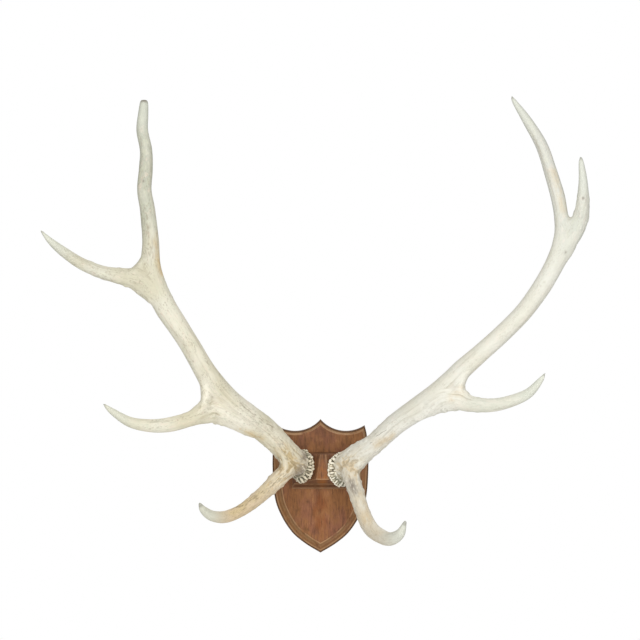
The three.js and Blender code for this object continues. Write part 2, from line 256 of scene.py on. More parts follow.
SHIELD_PEAK = 124
SHIELD_TIP = -122
SHIELD_CORNER = (81.5, 112.5)
SCOOP_CENTRE = (47, 164)
SCOOP_RADIUS = 62
FLANK = [[86, 90], [88.5, 40], [84.5, -18], [72.5, -53], [52.5, -84], [28, -105]]
MOULDING_TOP_WIDTH = 6
MOULDING_SIDE_WIDTH = 16
WIDENING = (30, 95)
SHIELD_THICKNESS = 20
# Moulding: share of its width, and height above the back.
MOULDING = [
    [0, 0.0], [0, 0.6], [0, 4.0], [0, 9.6], [0.015, 10.5], [0.04, 11.2], [0.08, 11.8], [0.13, 12.1],
    [0.19, 12.2], [0.27, 12.3], [0.4, 12.6], [0.55, 13.4], [0.7, 14.7], [0.8, 16.2], [0.86, 17.6],
    [0.9, 18.9], [0.94, 19.7], [0.98, 20.0], [1.03, 20.0], [1.08, 20.0], [1.3, 20.0],
]
SCOOP_POINTS = 60
FLANK_POINTS = 170

PAST_MOULDING = 100  # stands for the distance past the moulding on the block, in mm

GAP = 0.3  # between the shield's front and the block
BLOCK_HALF_WIDTH = 52
BLOCK_TOP = 64
BLOCK_FRONT_FOOT = 18.5
BLOCK_PROFILE = [
    [SHIELD_THICKNESS + GAP, BLOCK_TOP],
    [74, BLOCK_TOP],
    [74, BLOCK_FRONT_FOOT],
    [32, 7],
    [27, -1.5],
    [25, -3],
    [SHIELD_THICKNESS + GAP, -3],
]
BURR_SEAT = 8.5
BLOCK_BEVEL = 0.9
BLOCK_GRID = 2.0
BLOCK_WEAR_AND_HIGHLIGHT_REACH = 1.8
FOOT_SHADE_TOP = (BLOCK_FRONT_FOOT - 13, BLOCK_FRONT_FOOT - 8)  # heights over which the painted shade under the block's foot ends

# ---- small helpers


def unit(vectors):
    return vectors / np.maximum(np.linalg.norm(vectors, axis=-1, keepdims=True), 1e-12)


def smoothstep(low, high, values):
    share = np.clip((values - low) / (high - low), 0, 1)
    return share * share * (3 - 2 * share)


def noise_at(points):
    """Gradient noise from -1 to 1 at each point."""
    return np.array([noise.noise(point) for point in points.tolist()])


def catmull_rom(rows, steps):
    """The smooth curve through all rows, with some steps between each two."""
    rows = np.array(rows, float)
    rows = np.vstack([2 * rows[0] - rows[1], rows, 2 * rows[-1] - rows[-2]])
    t = np.linspace(0, 1, steps, endpoint=False)[:, None]
    parts = []
    for p0, p1, p2, p3 in zip(rows, rows[1:], rows[2:], rows[3:]):
        bend = 2 * p0 - 5 * p1 + 4 * p2 - p3
        twist = 3 * p1 - p0 - 3 * p2 + p3
        parts.append(p1 + 0.5 * ((p2 - p0) * t + bend * t**2 + twist * t**3))
    parts.append(rows[-2:-1])
    return np.vstack(parts)


def lengths_along(points):
    """The length of a line of points up to each of them."""
    return np.concatenate([[0], np.cumsum(np.linalg.norm(np.diff(points, axis=0), axis=1))])


def rows_at(places, measure, rows):
    """The rows between two others, at some places of a measure that each row has."""
    return np.column_stack([np.interp(places, measure, column) for column in rows.T])


def to_segment(points, a, b):
    """How far along a segment each point lies, as a share of it, and its distance to it."""
    share = np.clip(((points - a) @ (b - a)) / ((b - a) @ (b - a)), 0, 1)
    return share, np.linalg.norm(points - a - share[:, None] * (b - a), axis=1)


def circle(sides):
    """Evenly spaced points on the unit circle."""
    angles = np.linspace(0, 2 * math.pi, sides, endpoint=False)
    return np.column_stack([np.cos(angles), np.sin(angles)])


def add_object(name, data):
    made = bpy.data.objects.new(name, data)
    bpy.context.scene.collection.objects.link(made)
    return made


def mesh_object(name, vertices, faces):
    mesh = bpy.data.meshes.new(name)
    mesh.from_pydata(np.asarray(vertices).tolist(), [], faces)
    mesh.update()
    return add_object(name, mesh)


def object_from(name, shape):
    """An object from a bmesh, which is freed."""
    mesh = bpy.data.meshes.new(name)
    shape.to_mesh(mesh)
    shape.free()
    return add_object(name, mesh)


def tube_faces(rings, sides):
    """The faces of a tube through some rings of points, closed at both ends."""
    faces = []
    for low in range(0, (rings - 1) * sides, sides):
        high = low + sides
        for i in range(sides):
            j = (i + 1) % sides
            faces.append((low + i, low + j, high + j, high + i))
    end = (rings - 1) * sides
    return [*faces, tuple(range(sides))[::-1], tuple(range(end, end + sides))]


def rows_of(items, name, width, kind=np.float32):
    """One property of all vertices or edges, with a row for each."""
    flat = np.empty(len(items) * width, kind)
    items.foreach_get(name, flat)
    return flat.reshape(-1, width)


def positions(piece):
    return rows_of(piece.data.vertices, "co", 3).astype(float)


def normals(piece):
    return rows_of(piece.data.vertices, "normal", 3).astype(float)


def edges_of(piece):
    return rows_of(piece.data.edges, "vertices", 2, np.int32)


def move_to(piece, points):
    piece.data.vertices.foreach_set("co", np.asarray(points, np.float32).ravel())
    piece.data.update()


def neighbour_mean(points, edges):
    """The mean of each vertex's neighbours."""
    a, b = edges[:, 0], edges[:, 1]
    count = np.bincount(a, minlength=len(points)) + np.bincount(b, minlength=len(points))
    total = np.empty_like(points)
    for axis in range(3):
        values = points[:, axis]
        total[:, axis] = np.bincount(a, values[b], len(points))
        total[:, axis] += np.bincount(b, values[a], len(points))
    return total / np.maximum(count, 1)[:, None]


def set_attributes(piece, attributes):
    """Stores a number or a vector for each vertex, under each name."""
    for name, values in attributes.items():
        kind, field = ("FLOAT_VECTOR", "vector") if values.ndim == 2 else ("FLOAT", "value")
        attribute = piece.data.attributes.new(name, kind, "POINT")
        attribute.data.foreach_set(field, values.astype(np.float32).ravel())


def apply_modifiers(piece):
    depsgraph = bpy.context.evaluated_depsgraph_get()
    finished = bpy.data.meshes.new_from_object(piece.evaluated_get(depsgraph))
    piece.modifiers.clear()
    piece.data = finished


def remesh(piece, voxel):
    modifier = piece.modifiers.new("remesh", "REMESH")
    modifier.mode = "VOXEL"
    modifier.voxel_size = voxel * MM
    apply_modifiers(piece)


def join(pieces):
    """One object from several, with their surfaces still apart."""
    whole = bmesh.new()
    for piece in pieces:
        whole.from_mesh(piece.data)
        bpy.data.objects.remove(piece)
    return object_from("joined", whole)


# ---- antler: limbs


def limb_path(stations):
    """A limb's centreline, half-sizes and section frame, at close steps."""
    rows = catmull_rom(stations, STEPS_PER_STATION) * MM
    centre, half = rows[:, :3], np.maximum(rows[:, 3:], SMALLEST_HALF * MM)
    along = unit(np.gradient(centre, axis=0))
    across = unit(np.cross(FRONT, along))
    return {
        "centre": centre,
        "half": half,
        "along": along,
        "across": across,
        "deep": np.cross(along, across),
        "run": lengths_along(centre),
    }


def limb_tube(path, blunt=False, eased=True):
    """A closed tube along the limb, with a rounded or a blunt end, and an eased or a full start."""
    centre, half, along = path["centre"], path["half"], path["along"]
    across, deep = path["across"], path["deep"]
    if eased:
        share = np.clip(path["run"] / (EASED_START * MM), 0.02, 1)
        half = half * np.sqrt(share * (2 - share))[:, None]
    if blunt:
        narrowing = BLUNT_ROUNDING * smoothstep(-3 * MM, 0, path["run"] - path["run"][-1])
        half = half * (1 - narrowing)[:, None]
    else:
        for turn in (0.5, 0.9, 1.25):
            reach = along[-1] * path["half"][-1].min() * math.sin(turn)
            centre = np.vstack([centre, path["centre"][-1] + reach])
            half = np.vstack([half, path["half"][-1] * math.cos(turn)])
            across = np.vstack([across, across[-1]])
            deep = np.vstack([deep, deep[-1]])
    cosines, sines = circle(LIMB_SIDES).T[:, None, :, None]
    ring_across = across[:, None] * cosines * half[:, None, :1]
    ring_deep = deep[:, None] * sines * half[:, None, 1:]
    vertices = (centre[:, None] + ring_across + ring_deep).reshape(-1, 3)
    return mesh_object("limb", vertices, tube_faces(len(centre), LIMB_SIDES))


def fill_crotches(piece):
    """Grows bone into the hollow creases between limbs, and leaves all rounded surfaces alone."""
    edges = edges_of(piece)
    for _ in range(FILLET_ROUNDS):
        points, outward = positions(piece), normals(piece)
        lift = ((neighbour_mean(points, edges) - points) * outward).sum(1)
        move_to(piece, points + outward * np.maximum(lift, 0)[:, None] * 0.7)


def smooth(piece, rounds):
    """Evens the surface without shrinking it."""
    edges = edges_of(piece)
    points = positions(piece)
    for _ in range(rounds):
        points = points + 0.5 * (neighbour_mean(points, edges) - points)
        points = points - 0.52 * (neighbour_mean(points, edges) - points)
    move_to(piece, points)


def locate(path, points):
    """Where each point lies on a limb: run along it, place in its section, and distance to it."""
    centre = path["centre"]
    nearest = np.empty(len(points), int)
    for low in range(0, len(points), POINTS_AT_A_TIME):
        some = slice(low, low + POINTS_AT_A_TIME)
        nearest[some] = np.argmin((centre**2).sum(1)[None] - 2 * points[some] @ centre.T, axis=1)
    run = path["run"][nearest] + ((points - centre[nearest]) * path["along"][nearest]).sum(1)
    names = ("centre", "along", "across", "deep", "half")
    here = {name: rows_at(run, path["run"], path[name]) for name in names}
    offset = points - here["centre"]
    u, v, w = ((offset * here[name]).sum(1) for name in ("across", "deep", "along"))
    size = here["half"]
    share = np.sqrt((u / size[:, 0])**2 + (v / size[:, 1])**2 + (w / size.min(1))**2)
    return {
        "run": run,
        "from_tip": path["run"][-1] - run,
        "u": u,
        "v": v,
        "radius": size.mean(1),
        "gap": (share - 1) * np.linalg.norm(offset, axis=1) / np.maximum(share, 1e-6),
    }


def limb_weights(places):
    """How much each point belongs to each limb, softly parted over a few millimetres."""
    gaps = np.stack([place["gap"] for place in places])
    closeness = np.exp((gaps.min(0) - gaps) / (PARTING * MM))
    return closeness / closeness.sum(0)


# ---- antler: relief


def grain_of(place, offset):
    """The point on a limb unrolled to lie along Z, so that noise can run with the bone."""
    around = np.stack([place["u"], place["v"]], axis=1)
    return np.column_stack([around, place["run"]]) + offset


def limb_relief(place, offset):
    """Height of the bone's own relief on a limb, in metres: gutters, swellings and pearls."""
    grain = grain_of(place, offset)
    fade_tip = smoothstep(0.02, 0.1, place["from_tip"])
    near_base = 1 - smoothstep(0.03, 0.24, place["run"])
    gutter_noise = noise_at(grain * [105, 105, 9])
    gutters = -np.exp(-(gutter_noise / 0.16)**2)
    fine_noise = noise_at(grain * [260, 260, 22] + 5)
    fine = -np.exp(-(fine_noise / 0.2)**2)
    swell = noise_at(grain * [22, 22, 16] + 9)
    pearls = np.maximum(noise_at(grain * [150, 150, 95] + 31) - 0.12, 0)
    height = 0.34 * gutters * (0.5 + 0.8 * near_base)
    height += 0.2 * fine * (0.4 + near_base)
    height += 0.7 * swell
    height += 2.8 * pearls * near_base
    return height * fade_tip * MM


def distance_to_line(points, line):
    """Distance in the front view from each x, z point to a line through points, and place on it."""
    best = np.full(len(points), np.inf)
    place = np.zeros(len(points))
    for i, (a, b) in enumerate(zip(line, line[1:])):
        share, gap = to_segment(points, a, b)
        closer = gap < best
        best[closer] = gap[closer]
        place[closer] = (i + share[closer]) / (len(line) - 1)
    return best, place


def front_relief(side, points, outward):
    """Ridges and hollows on the front of the beams, in metres."""
    facing = smoothstep(0.0, 0.6, -outward[:, 1])
    seen = points[:, [0, 2]] / MM
    height = np.zeros(len(points))
    for ridge in RIDGES[side]:
        line = catmull_rom(ridge, 6)
        gap, place = distance_to_line(seen, line)
        fade = smoothstep(0, 0.15, place) * (1 - smoothstep(0.85, 1, place))
        height += RIDGE_HEIGHT * np.exp(-(gap / RIDGE_WIDTH)**2) * fade
    for x, z, radius, depth in HOLLOWS[side]:
        gap = np.linalg.norm(seen - [x, z], axis=1)
        height -= depth * np.exp(-(gap / radius)**2)
    return height * facing * MM


def marked(side, kind, points, outward):
    """Share from 0 to 1 of each point that lies in the marks of one kind, on the front."""
    seen = points[:, [0, 2]] / MM
    share = np.zeros(len(points))
    for mark_kind, line, reach in MARKS[side]:
        if mark_kind == kind:
            gap, _ = distance_to_line(seen, np.array(line, float))
            share = np.maximum(share, np.exp(-(gap / reach)**2))
    return share * smoothstep(-0.2, 0.4, -outward[:, 1])


def pith_relief(path, points):
    """The shallow hollow in the middle of a limb's blunt end, in metres."""
    offset = points - path["centre"][-1]
    along = offset @ path["along"][-1]
    aside = np.linalg.norm(offset - along[:, None] * path["along"][-1], axis=1)
    depth = PITH_DEPTH * MM * np.exp(-(aside / (PITH_RADIUS * MM))**2)
    return -depth * (np.abs(along) < 2 * PITH_RADIUS * MM)


# ---- antler: burr


def burr_axes(burr):
    axis = unit(np.array(burr["axis"], float))
    across = unit(np.cross(FRONT, axis))
    return np.array([across, np.cross(axis, across), axis])


def burr_place(burr, points):
    """Points in the burr's own frame, whose Z is its axis."""
    return (points - np.array(burr["centre"]) * MM) @ burr_axes(burr).T


def burr_points(burr, local):
    return local @ burr_axes(burr) + np.array(burr["centre"]) * MM


def burr_ring(burr):
    """The uneven ring that the pearls stand on, closed over a core inside the beam."""
    radius = burr["radius"]
    profile = catmull_rom([[h, radius * share] for h, share in BURR_PROFILE], 3)
    core = radius * BURR_CORE
    profile = np.vstack([[profile[0, 0], core], profile, [profile[-1, 0], core]])
    around = np.column_stack([circle(BURR_SIDES), np.zeros(BURR_SIDES)])
    wobble = 1 + 0.035 * noise_at(around * 2 + radius)
    rings = [around * (r * wobble)[:, None] + [0, 0, h] for h, r in profile]
    faces = tube_faces(len(rings), BURR_SIDES)
    return mesh_object("burr_ring", burr_points(burr, np.vstack(rings) * MM), faces)


def burr_pearls(burr, random):
    """Rows of rough knobs of uneven size round the burr."""
    ball = bmesh.new()
    bmesh.ops.create_icosphere(ball, subdivisions=2, radius=1)
    ball_points = np.array([v.co for v in ball.verts])
    ball_faces = [[v.index for v in face.verts] for face in ball.faces]
    ball.free()
    vertices, faces = [], []
    for row in PEARL_ROWS:
        for i in range(row["count"]):
            size = row["size"] * random.uniform(0.7, 1.2)
            stretch = [row["long"], 1, 1] * random.uniform([0.75, 0.75, 0.8], [1.25, 1.15, 1.1])
            lumps = 1 + 0.35 * noise_at(ball_points * 1.2 + random.uniform(0, 40))
            knob = ball_points * lumps[:, None] * size * stretch
            sine, cosine = math.sin(row["tilt"]), math.cos(row["tilt"])
            knob = knob @ [[cosine, 0, -sine], [0, 1, 0], [sine, 0, cosine]]
            reach = burr["radius"] * row["reach"] * random.uniform(0.97, 1.02)
            knob += [reach, 0, row["height"] + random.uniform(-0.9, 0.9)]
            angle = 2 * math.pi * (i + random.uniform(0, 0.5)) / row["count"]
            sine, cosine = math.sin(angle), math.cos(angle)
            faces += [[index + len(vertices) * len(knob) for index in face] for face in ball_faces]
            vertices.append(knob @ [[cosine, sine, 0], [-sine, cosine, 0], [0, 0, 1]])
    return mesh_object("pearls", burr_points(burr, np.vstack(vertices) * MM), faces)


def make_burr(burr, random):
    piece = join([burr_ring(burr), burr_pearls(burr, random)])
    remesh(piece, BURR_VOXEL)
    smooth(piece, 1)
    return piece


def weld(piece, other):
    """Joins another closed mesh to a piece, as one closed surface."""
    modifier = piece.modifiers.new("weld", "BOOLEAN")
    modifier.operation = "UNION"
    modifier.solver = "MANIFOLD"
    modifier.object = other
    apply_modifiers(piece)
    bpy.data.objects.remove(other)


# ---- antler: whole


def convexity(piece, rounds):
    """How far each vertex stands proud of its smoothed surroundings, in metres."""
    edges = edges_of(piece)
    points = positions(piece)
    smoothed = points
    for _ in range(rounds):
        smoothed = neighbour_mean(smoothed, edges)
    return ((points - smoothed) * normals(piece)).sum(1)


def antler_attributes(piece, side, paths):
    """Stores what the bone material reads at each vertex."""
    points, outward = positions(piece), normals(piece)
    places = [locate(path, points) for path in paths.values()]
    weights = limb_weights(places)
    rows = np.arange(len(points))
    tine_grains = np.stack([grain_of(place, i) for i, place in enumerate(places[1:])])
    from_tips = np.stack([place["from_tip"] for place in places])
    local = burr_place(BURRS[side], points)
    from_burr = np.linalg.norm(local, axis=1) - BURRS[side]["radius"] * MM
    height = local[:, 2] / MM
    set_attributes(piece, {
        "beam_grain": grain_of(places[0], 0),
        "tine_grain": tine_grains[weights[1:].argmax(0), rows],
        "tine": smoothstep(0.3, 0.7, weights[1:].sum(0)),
        "from_tip": from_tips[weights.argmax(0), rows],
        "from_burr": from_burr,
        "ring": (1 - smoothstep(*BURR_EDGE, height)) * (from_burr < BURR_REACH * MM),
        "teeth": smoothstep(*TEETH[:2], height) * (1 - smoothstep(*TEETH[2:], height)),
        "brow": weights[list(paths).index("brow_tine")],
        "relief": convexity(piece, 8) / MM,
    })
    set_attributes(piece, {kind: marked(side, kind, points, outward) for kind in MARK_KINDS})


def make_antler(side, material):
    paths = {name: limb_path(stations) for name, stations in LIMBS[side].items()}
    blunt = {"beam"} if side == "left" else set()
    tubes = [limb_tube(path, name in blunt, name != "beam") for name, path in paths.items()]
    tubes += [limb_tube(limb_path(stations)) for stations in WEBS[side].values()]
    piece = join(tubes)
    remesh(piece, CROTCH_VOXEL)
    fill_crotches(piece)
    remesh(piece, LIMB_VOXEL)
    smooth(piece, 3)
    points, outward = positions(piece), normals(piece)
    places = [locate(path, points) for path in paths.values()]
    heights = np.stack([limb_relief(place, 0.3 + 0.7 * i) for i, place in enumerate(places)])
    relief = (limb_weights(places) * heights).sum(0) + front_relief(side, points, outward)
    for name in blunt:
        relief += pith_relief(paths[name], points)
    move_to(piece, points + outward * relief[:, None])
    weld(piece, make_burr(BURRS[side], np.random.default_rng(PEARL_SEED[side])))
    antler_attributes(piece, side, paths)
    piece.data.shade_smooth()
    piece.name = f"{side}_antler"
    piece.data.name = piece.name
    piece.data.materials.clear()
    piece.data.materials.append(material)
    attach(piece, "root")
    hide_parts(*(f"{side}_{node}" for node in NODES))
    return piece


# ---- shield


def moulding_width(heights):
    """The width of the moulded edge at some heights: narrow along the scoops, wide below."""
    widening = 1 - smoothstep(*WIDENING, heights)
    return MOULDING_TOP_WIDTH + (MOULDING_SIDE_WIDTH - MOULDING_TOP_WIDTH) * widening


def offset_line(line, share):
    """A line of x, z points moved to its right-hand side by a share of the moulding's width."""
    direction = unit(np.gradient(line, axis=0))
    inward = np.column_stack([direction[:, 1], -direction[:, 0]])
    return line + inward * (moulding_width(line[:, 1]) * share)[:, None]


def cross_product(a, b):
    return a[..., 0] * b[..., 1] - a[..., 1] * b[..., 0]


def crossing(first, second):
    """Where two lines cross: the places on each, counted in points."""
    a, b = first[:-1, None], first[1:, None] - first[:-1, None]
    c, d = second[None, :-1], second[None, 1:] - second[None, :-1]
    cross = cross_product(b, d)
    cross = np.where(np.abs(cross) < 1e-12, 1e-12, cross)
    t, s = cross_product(c - a, d) / cross, cross_product(c - a, b) / cross
    miss = np.maximum(np.abs(t - 0.5), np.abs(s - 0.5))
    i, j = np.unravel_index(miss.argmin(), miss.shape)
    return i + t[i, j], j + s[i, j]


def resample(line, start, end, count):
    """Evenly spaced points on a line between two places on it, counted in points."""
    keep = [start, *range(math.ceil(start + 1e-6), math.floor(end - 1e-6) + 1), end]
    kept = rows_at(keep, np.arange(len(line)), line)
    run = lengths_along(kept)
    return rows_at(np.linspace(0, run[-1], count), run, kept)


def shield_ring(scoop, flank, share):
    """The shield's outline moved inwards, from the peak round by the right to the peak again."""
    scoop, flank = offset_line(scoop, share), offset_line(flank, share)
    middle = np.array([[0.0, 200.0], [0.0, -200.0]])
    scoop_start = crossing(scoop, middle)[0] if share else 0
    flank_end = crossing(flank, middle)[0] if share else len(flank) - 1
    corner = crossing(scoop, flank) if share else (len(scoop) - 1, 0)
    half = np.vstack([
        resample(scoop, scoop_start, corner[0], SCOOP_POINTS),
        resample(flank, corner[1], flank_end, FLANK_POINTS)[1:],
    ])
    half[[0, -1], 0] = 0
    return np.vstack([half, half[-2:0:-1] * [-1, 1]])


def make_shield(material):
    corner = np.array(SHIELD_CORNER) - SCOOP_CENTRE
    start = np.array([0, SHIELD_PEAK]) - SCOOP_CENTRE
    angles = np.linspace(math.atan2(start[1], start[0]), math.atan2(corner[1], corner[0]), 200)
    scoop = np.column_stack([np.cos(angles), np.sin(angles)]) * SCOOP_RADIUS + SCOOP_CENTRE
    flank = catmull_rom([SHIELD_CORNER, *FLANK, [0, SHIELD_TIP]], 40)
    rings, arris, inset = [], [], []
    for share, height in MOULDING:
        ring = shield_ring(scoop, flank, share)
        rings.append(np.column_stack([ring[:, 0], np.full(len(ring), -height), ring[:, 1]]) * MM)
        arris.append((share - 1) * moulding_width(ring[:, 1]))
        inset.append(share * moulding_width(ring[:, 1]))
    count = len(rings[0])
    faces = [tuple(range(count))]
    for row in range(len(rings) - 1):
        low, high = row * count, (row + 1) * count
        faces += [(low + i, high + i, high + (i + 1) % count, low + (i + 1) % count) for i in range(count)]
    faces.append(tuple((len(rings) - 1) * count + i for i in range(count))[::-1])
    piece = mesh_object("carved_shield", np.vstack(rings), faces)
    unmarked = np.zeros(len(rings) * count)
    marks = {"arris": np.concatenate(arris), "inset": np.concatenate(inset)}
    set_attributes(piece, marks | {"wear_and_highlight": unmarked, "foot_shade": unmarked})
    piece.data.materials.append(material)
    piece.data.shade_smooth()
    for polygon in (piece.data.polygons[0], piece.data.polygons[-1]):
        polygon.use_smooth = False
    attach(piece, "root")
    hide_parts("shield")
    return piece


# ---- block


def block_shape():
    """The wedge with sharp edges, trimmed by the planes of both burrs."""
    shape = bmesh.new()
    ends = [[shape.verts.new((x * MM, -out * MM, z * MM)) for out, z in BLOCK_PROFILE]
            for x in (-BLOCK_HALF_WIDTH, BLOCK_HALF_WIDTH)]
    count = len(BLOCK_PROFILE)
    shape.faces.new(ends[0])
    shape.faces.new(ends[1][::-1])
    for i in range(count):
        j = (i + 1) % count
        shape.faces.new((ends[0][i], ends[1][i], ends[1][j], ends[0][j]))
    for burr in BURRS.values():
        axis = unit(np.array(burr["axis"], float))
        seat = np.array(burr["centre"]) * MM - axis * BURR_SEAT * MM
        everything = shape.verts[:] + shape.edges[:] + shape.faces[:]
        cut = bmesh.ops.bisect_plane(shape, geom=everything, plane_co=seat, plane_no=axis, clear_outer=True)
        rim = [e for e in cut["geom_cut"] if isinstance(e, bmesh.types.BMEdge)]
        bmesh.ops.contextual_create(shape, geom=rim)
    bmesh.ops.recalc_face_normals(shape, faces=shape.faces)
    return shape


def arris_wear_and_highlight(a, b):
    """How strongly one arris of the block is painted lighter, as a worn edge with a painted highlight: most
    along its front's lower end and its foot.
    """
    low, high = sorted((a[2] / MM, b[2] / MM))
    if low > BLOCK_TOP - 1:
        return 0.0
    if high < 0:
        return 0.7
    if abs(low - BLOCK_FRONT_FOOT) < 1 and abs(high - BLOCK_FRONT_FOOT) < 1:
        return 1.0
    return 0.35 if a[0] < 0 else 0.6


def make_block(material):
    shape = block_shape()
    ends = [np.array([vert.co for vert in e.verts]) for e in shape.edges if e.calc_face_angle(0) > 0.3]
    bevel = {"offset": BLOCK_BEVEL * MM, "segments": 3, "profile": 0.6, "affect": "EDGES"}
    bmesh.ops.bevel(shape, geom=shape.edges[:], **bevel)
    lows = np.array([v.co for v in shape.verts]).min(0)
    highs = np.array([v.co for v in shape.verts]).max(0)
    for axis in range(3):
        direction = np.eye(3)[axis]
        for place in np.arange(lows[axis], highs[axis], BLOCK_GRID * MM)[1:]:
            everything = shape.verts[:] + shape.edges[:] + shape.faces[:]
            bmesh.ops.bisect_plane(shape, geom=everything, plane_co=direction * place, plane_no=direction)
    piece = object_from("wedge_block", shape)
    points = positions(piece)
    wear_and_highlight = np.zeros(len(points))
    # Worn arrises, with a painted highlight along them.
    for a, b in ends:
        _, gap = to_segment(points, a, b)
        worn = 1 - smoothstep(0.3 * MM, BLOCK_WEAR_AND_HIGHLIGHT_REACH * MM, gap)
        wear_and_highlight = np.maximum(wear_and_highlight, worn * arris_wear_and_highlight(a, b))
    beyond = np.full(len(points), PAST_MOULDING)
    # Painted shade under the block's foot, full on its lowest faces.
    under = 1 - smoothstep(*FOOT_SHADE_TOP, points[:, 2] / MM)
    set_attributes(piece, {"arris": beyond, "inset": beyond, "wear_and_highlight": wear_and_highlight, "foot_shade": under})
    piece.data.materials.append(material)
    piece.data.shade_smooth()
    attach(piece, "root")
    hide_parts("mounting_block")
    return piece


# ---- materials


def srgb(red, green, blue):
    """A colour given as 0 to 255 sRGB, in the linear values that shaders use."""
    values = np.array([red, green, blue]) / 255
    linear = np.where(values <= 0.04045, values / 12.92, ((values + 0.055) / 1.055)**2.4)
    return (*linear, 1)


class Paint:
    """Short calls that build a material. Its colour starts as one tint, and others stain it."""

    def __init__(self, name, tints):
        self.tints = {tint: srgb(*values) for tint, values in tints.items()}
        self.material = bpy.data.materials.new(name)
        self.material.use_nodes = True
        self.tree = self.material.node_tree
        self.shader = self.tree.nodes["Principled BSDF"]

    def start(self, tint):
        self.colour = self.tints[tint]

    def stain(self, tint, *shares):
        """Lays a tint over the colour, as strong as the product of the shares."""
        inputs = {0: self.times(*shares), 6: self.colour, 7: self.tints[tint]}
        self.colour = self.node("ShaderNodeMix", inputs, data_type="RGBA").outputs[2]

    def finish(self, roughness, **inputs):
        """The finished material: its colour, its roughness and the shader's other inputs."""
        inputs |= {"Base Color": self.colour, "Roughness": roughness}
        for name, value in inputs.items():
            self.feed(self.shader.inputs[name], value)
        return self.material

    def node(self, kind, inputs, **settings):
        """A new node with its settings, and its sockets fed by name or by number."""
        made = self.tree.nodes.new(kind)
        for name, value in settings.items():
            setattr(made, name, value)
        for socket, value in inputs.items():
            self.feed(made.inputs[socket], value)
        return made

    def feed(self, socket, value):
        if isinstance(value, bpy.types.NodeSocket):
            self.tree.links.new(value, socket)
        else:
            socket.default_value = value

    def attribute(self, name, output="Fac"):
        return self.node("ShaderNodeAttribute", {}, attribute_name=name).outputs[output]

    def here(self):
        """The place in the shared frame, in metres."""
        return self.node("ShaderNodeTexCoord", {}).outputs["Object"]

    def math(self, operation, first, second):
        return self.node("ShaderNodeMath", {0: first, 1: second}, operation=operation).outputs[0]

    def times(self, *values):
        """The product of several values."""
        product = values[0]
        for value in values[1:]:
            product = self.math("MULTIPLY", product, value)
        return product

    def dot(self, vector, direction):
        inputs = {0: vector, 1: direction}
        return self.node("ShaderNodeVectorMath", inputs, operation="DOT_PRODUCT").outputs["Value"]

    def ramp(self, value, start, end):
        """0 at the start, 1 at the end and smooth between, also where the start is the higher."""
        inputs = {"Value": value, "From Min": start, "From Max": end}
        return self.node("ShaderNodeMapRange", inputs, interpolation_type="SMOOTHSTEP").outputs[0]

    def band(self, value, low, high, soft):
        """1 between low and high, and 0 beyond, with soft ends."""
        above = self.ramp(value, low - soft, low + soft)
        return self.times(above, self.ramp(value, high + soft, high - soft))

    def blend(self, share, first, second):
        """A number between two others."""
        inputs = {0: share, 2: first, 3: second}
        return self.node("ShaderNodeMix", inputs, data_type="FLOAT").outputs[0]

    def place(self, vector, scale, shift):
        inputs = {"Vector": vector, "Scale": scale, "Location": shift}
        return self.node("ShaderNodeMapping", inputs).outputs[0]

    def noise(self, vector, scale, detail, roughness=0.5, distortion=0.0, shift=(0, 0, 0)):
        inputs = {"Vector": self.place(vector, scale, shift), "Scale": 1.0, "Detail": detail}
        inputs |= {"Roughness": roughness, "Distortion": distortion}
        return self.node("ShaderNodeTexNoise", inputs).outputs["Fac"]

    def along_bone(self, *settings):
        """Noise that runs with the bone: with the beam, and with each tine beyond its fork."""
        beam = self.noise(self.attribute("beam_grain", "Vector"), *settings)
        tine = self.noise(self.attribute("tine_grain", "Vector"), *settings)
        return self.blend(self.attribute("tine"), beam, tine)

    def bumps(self, *layers):
        """Fine relief in layers: each has a height, a depth in metres and a strength."""
        normal = None
        for height, distance, strength in layers:
            inputs = {"Height": height, "Distance": distance, "Strength": strength}
            if normal is not None:
                inputs["Normal"] = normal
            normal = self.node("ShaderNodeBump", inputs).outputs[0]
        return normal


# The bone's tints, on the left antler and on the right one.
BONE = {
    # painted light, laid on the marked forks
    "painted_light": [(248, 243, 226), (246, 244, 233)],
    "pale": [(238, 233, 214), (234, 232, 220)],
    "deep": [(222, 214, 186), (229, 225, 208)],
    "blush": [(236, 220, 200), (238, 228, 214)],
    "brow": [(212, 183, 144), (228, 210, 182)],
    "green": [(202, 204, 180), (214, 216, 200)],
    "upper_grey": [(177, 179, 165), (204, 206, 198)],
    "tan": [(214, 193, 150), (221, 202, 168)],
    "dirt": [(138, 120, 90), (150, 136, 110)],
    "pearl": [(222, 212, 188), (242, 236, 218)],
    "pearl_shade": [(166, 150, 120), (210, 197, 166)],
    "dusk": [(132, 120, 108)] * 2,
    "crack": [(96, 84, 62)] * 2,
    "polished_tip": [(214, 217, 204)] * 2,
    "tip_point": [(120, 116, 104)] * 2,
    "pearl_gap": [(74, 66, 50)] * 2,
    "moss": [(108, 108, 88)] * 2,
}
# How strong some of them are, on the left antler and on the right one.
BROW_SHARE = [0.75, 0.3]
TAN_SHARE = [1.0, 0.75]
SPECK_SHARE = [0.4, 0.2]
# Noise along the bone: its scale across, across and along, its detail and its roughness.
BONE_NOISE = {
    "streaks": [(190, 190, 9), 5, 0.6],
    "blotches": [(75, 75, 26), 5, 0.65],
    "dashes": [(330, 330, 85), 3, 0.6],
    "flecks": [(170, 170, 60), 4, 0.7],
    "specks": [(520, 520, 240), 2, 0.5],
    "fibres": [(700, 700, 40), 3, 0.5],
}
# Where a tone sets in and where it is full, in metres.
UPPER_GREY = (0.2, 0.62)  # height
NEAR_BASE = (0.14, 0.0)  # distance from the burr
CLEAN_TIP = (0.02, 0.07)  # this and the next two: distance from the tip
POLISH = (0.09, 0.03)
POINT = (0.008, 0.002)


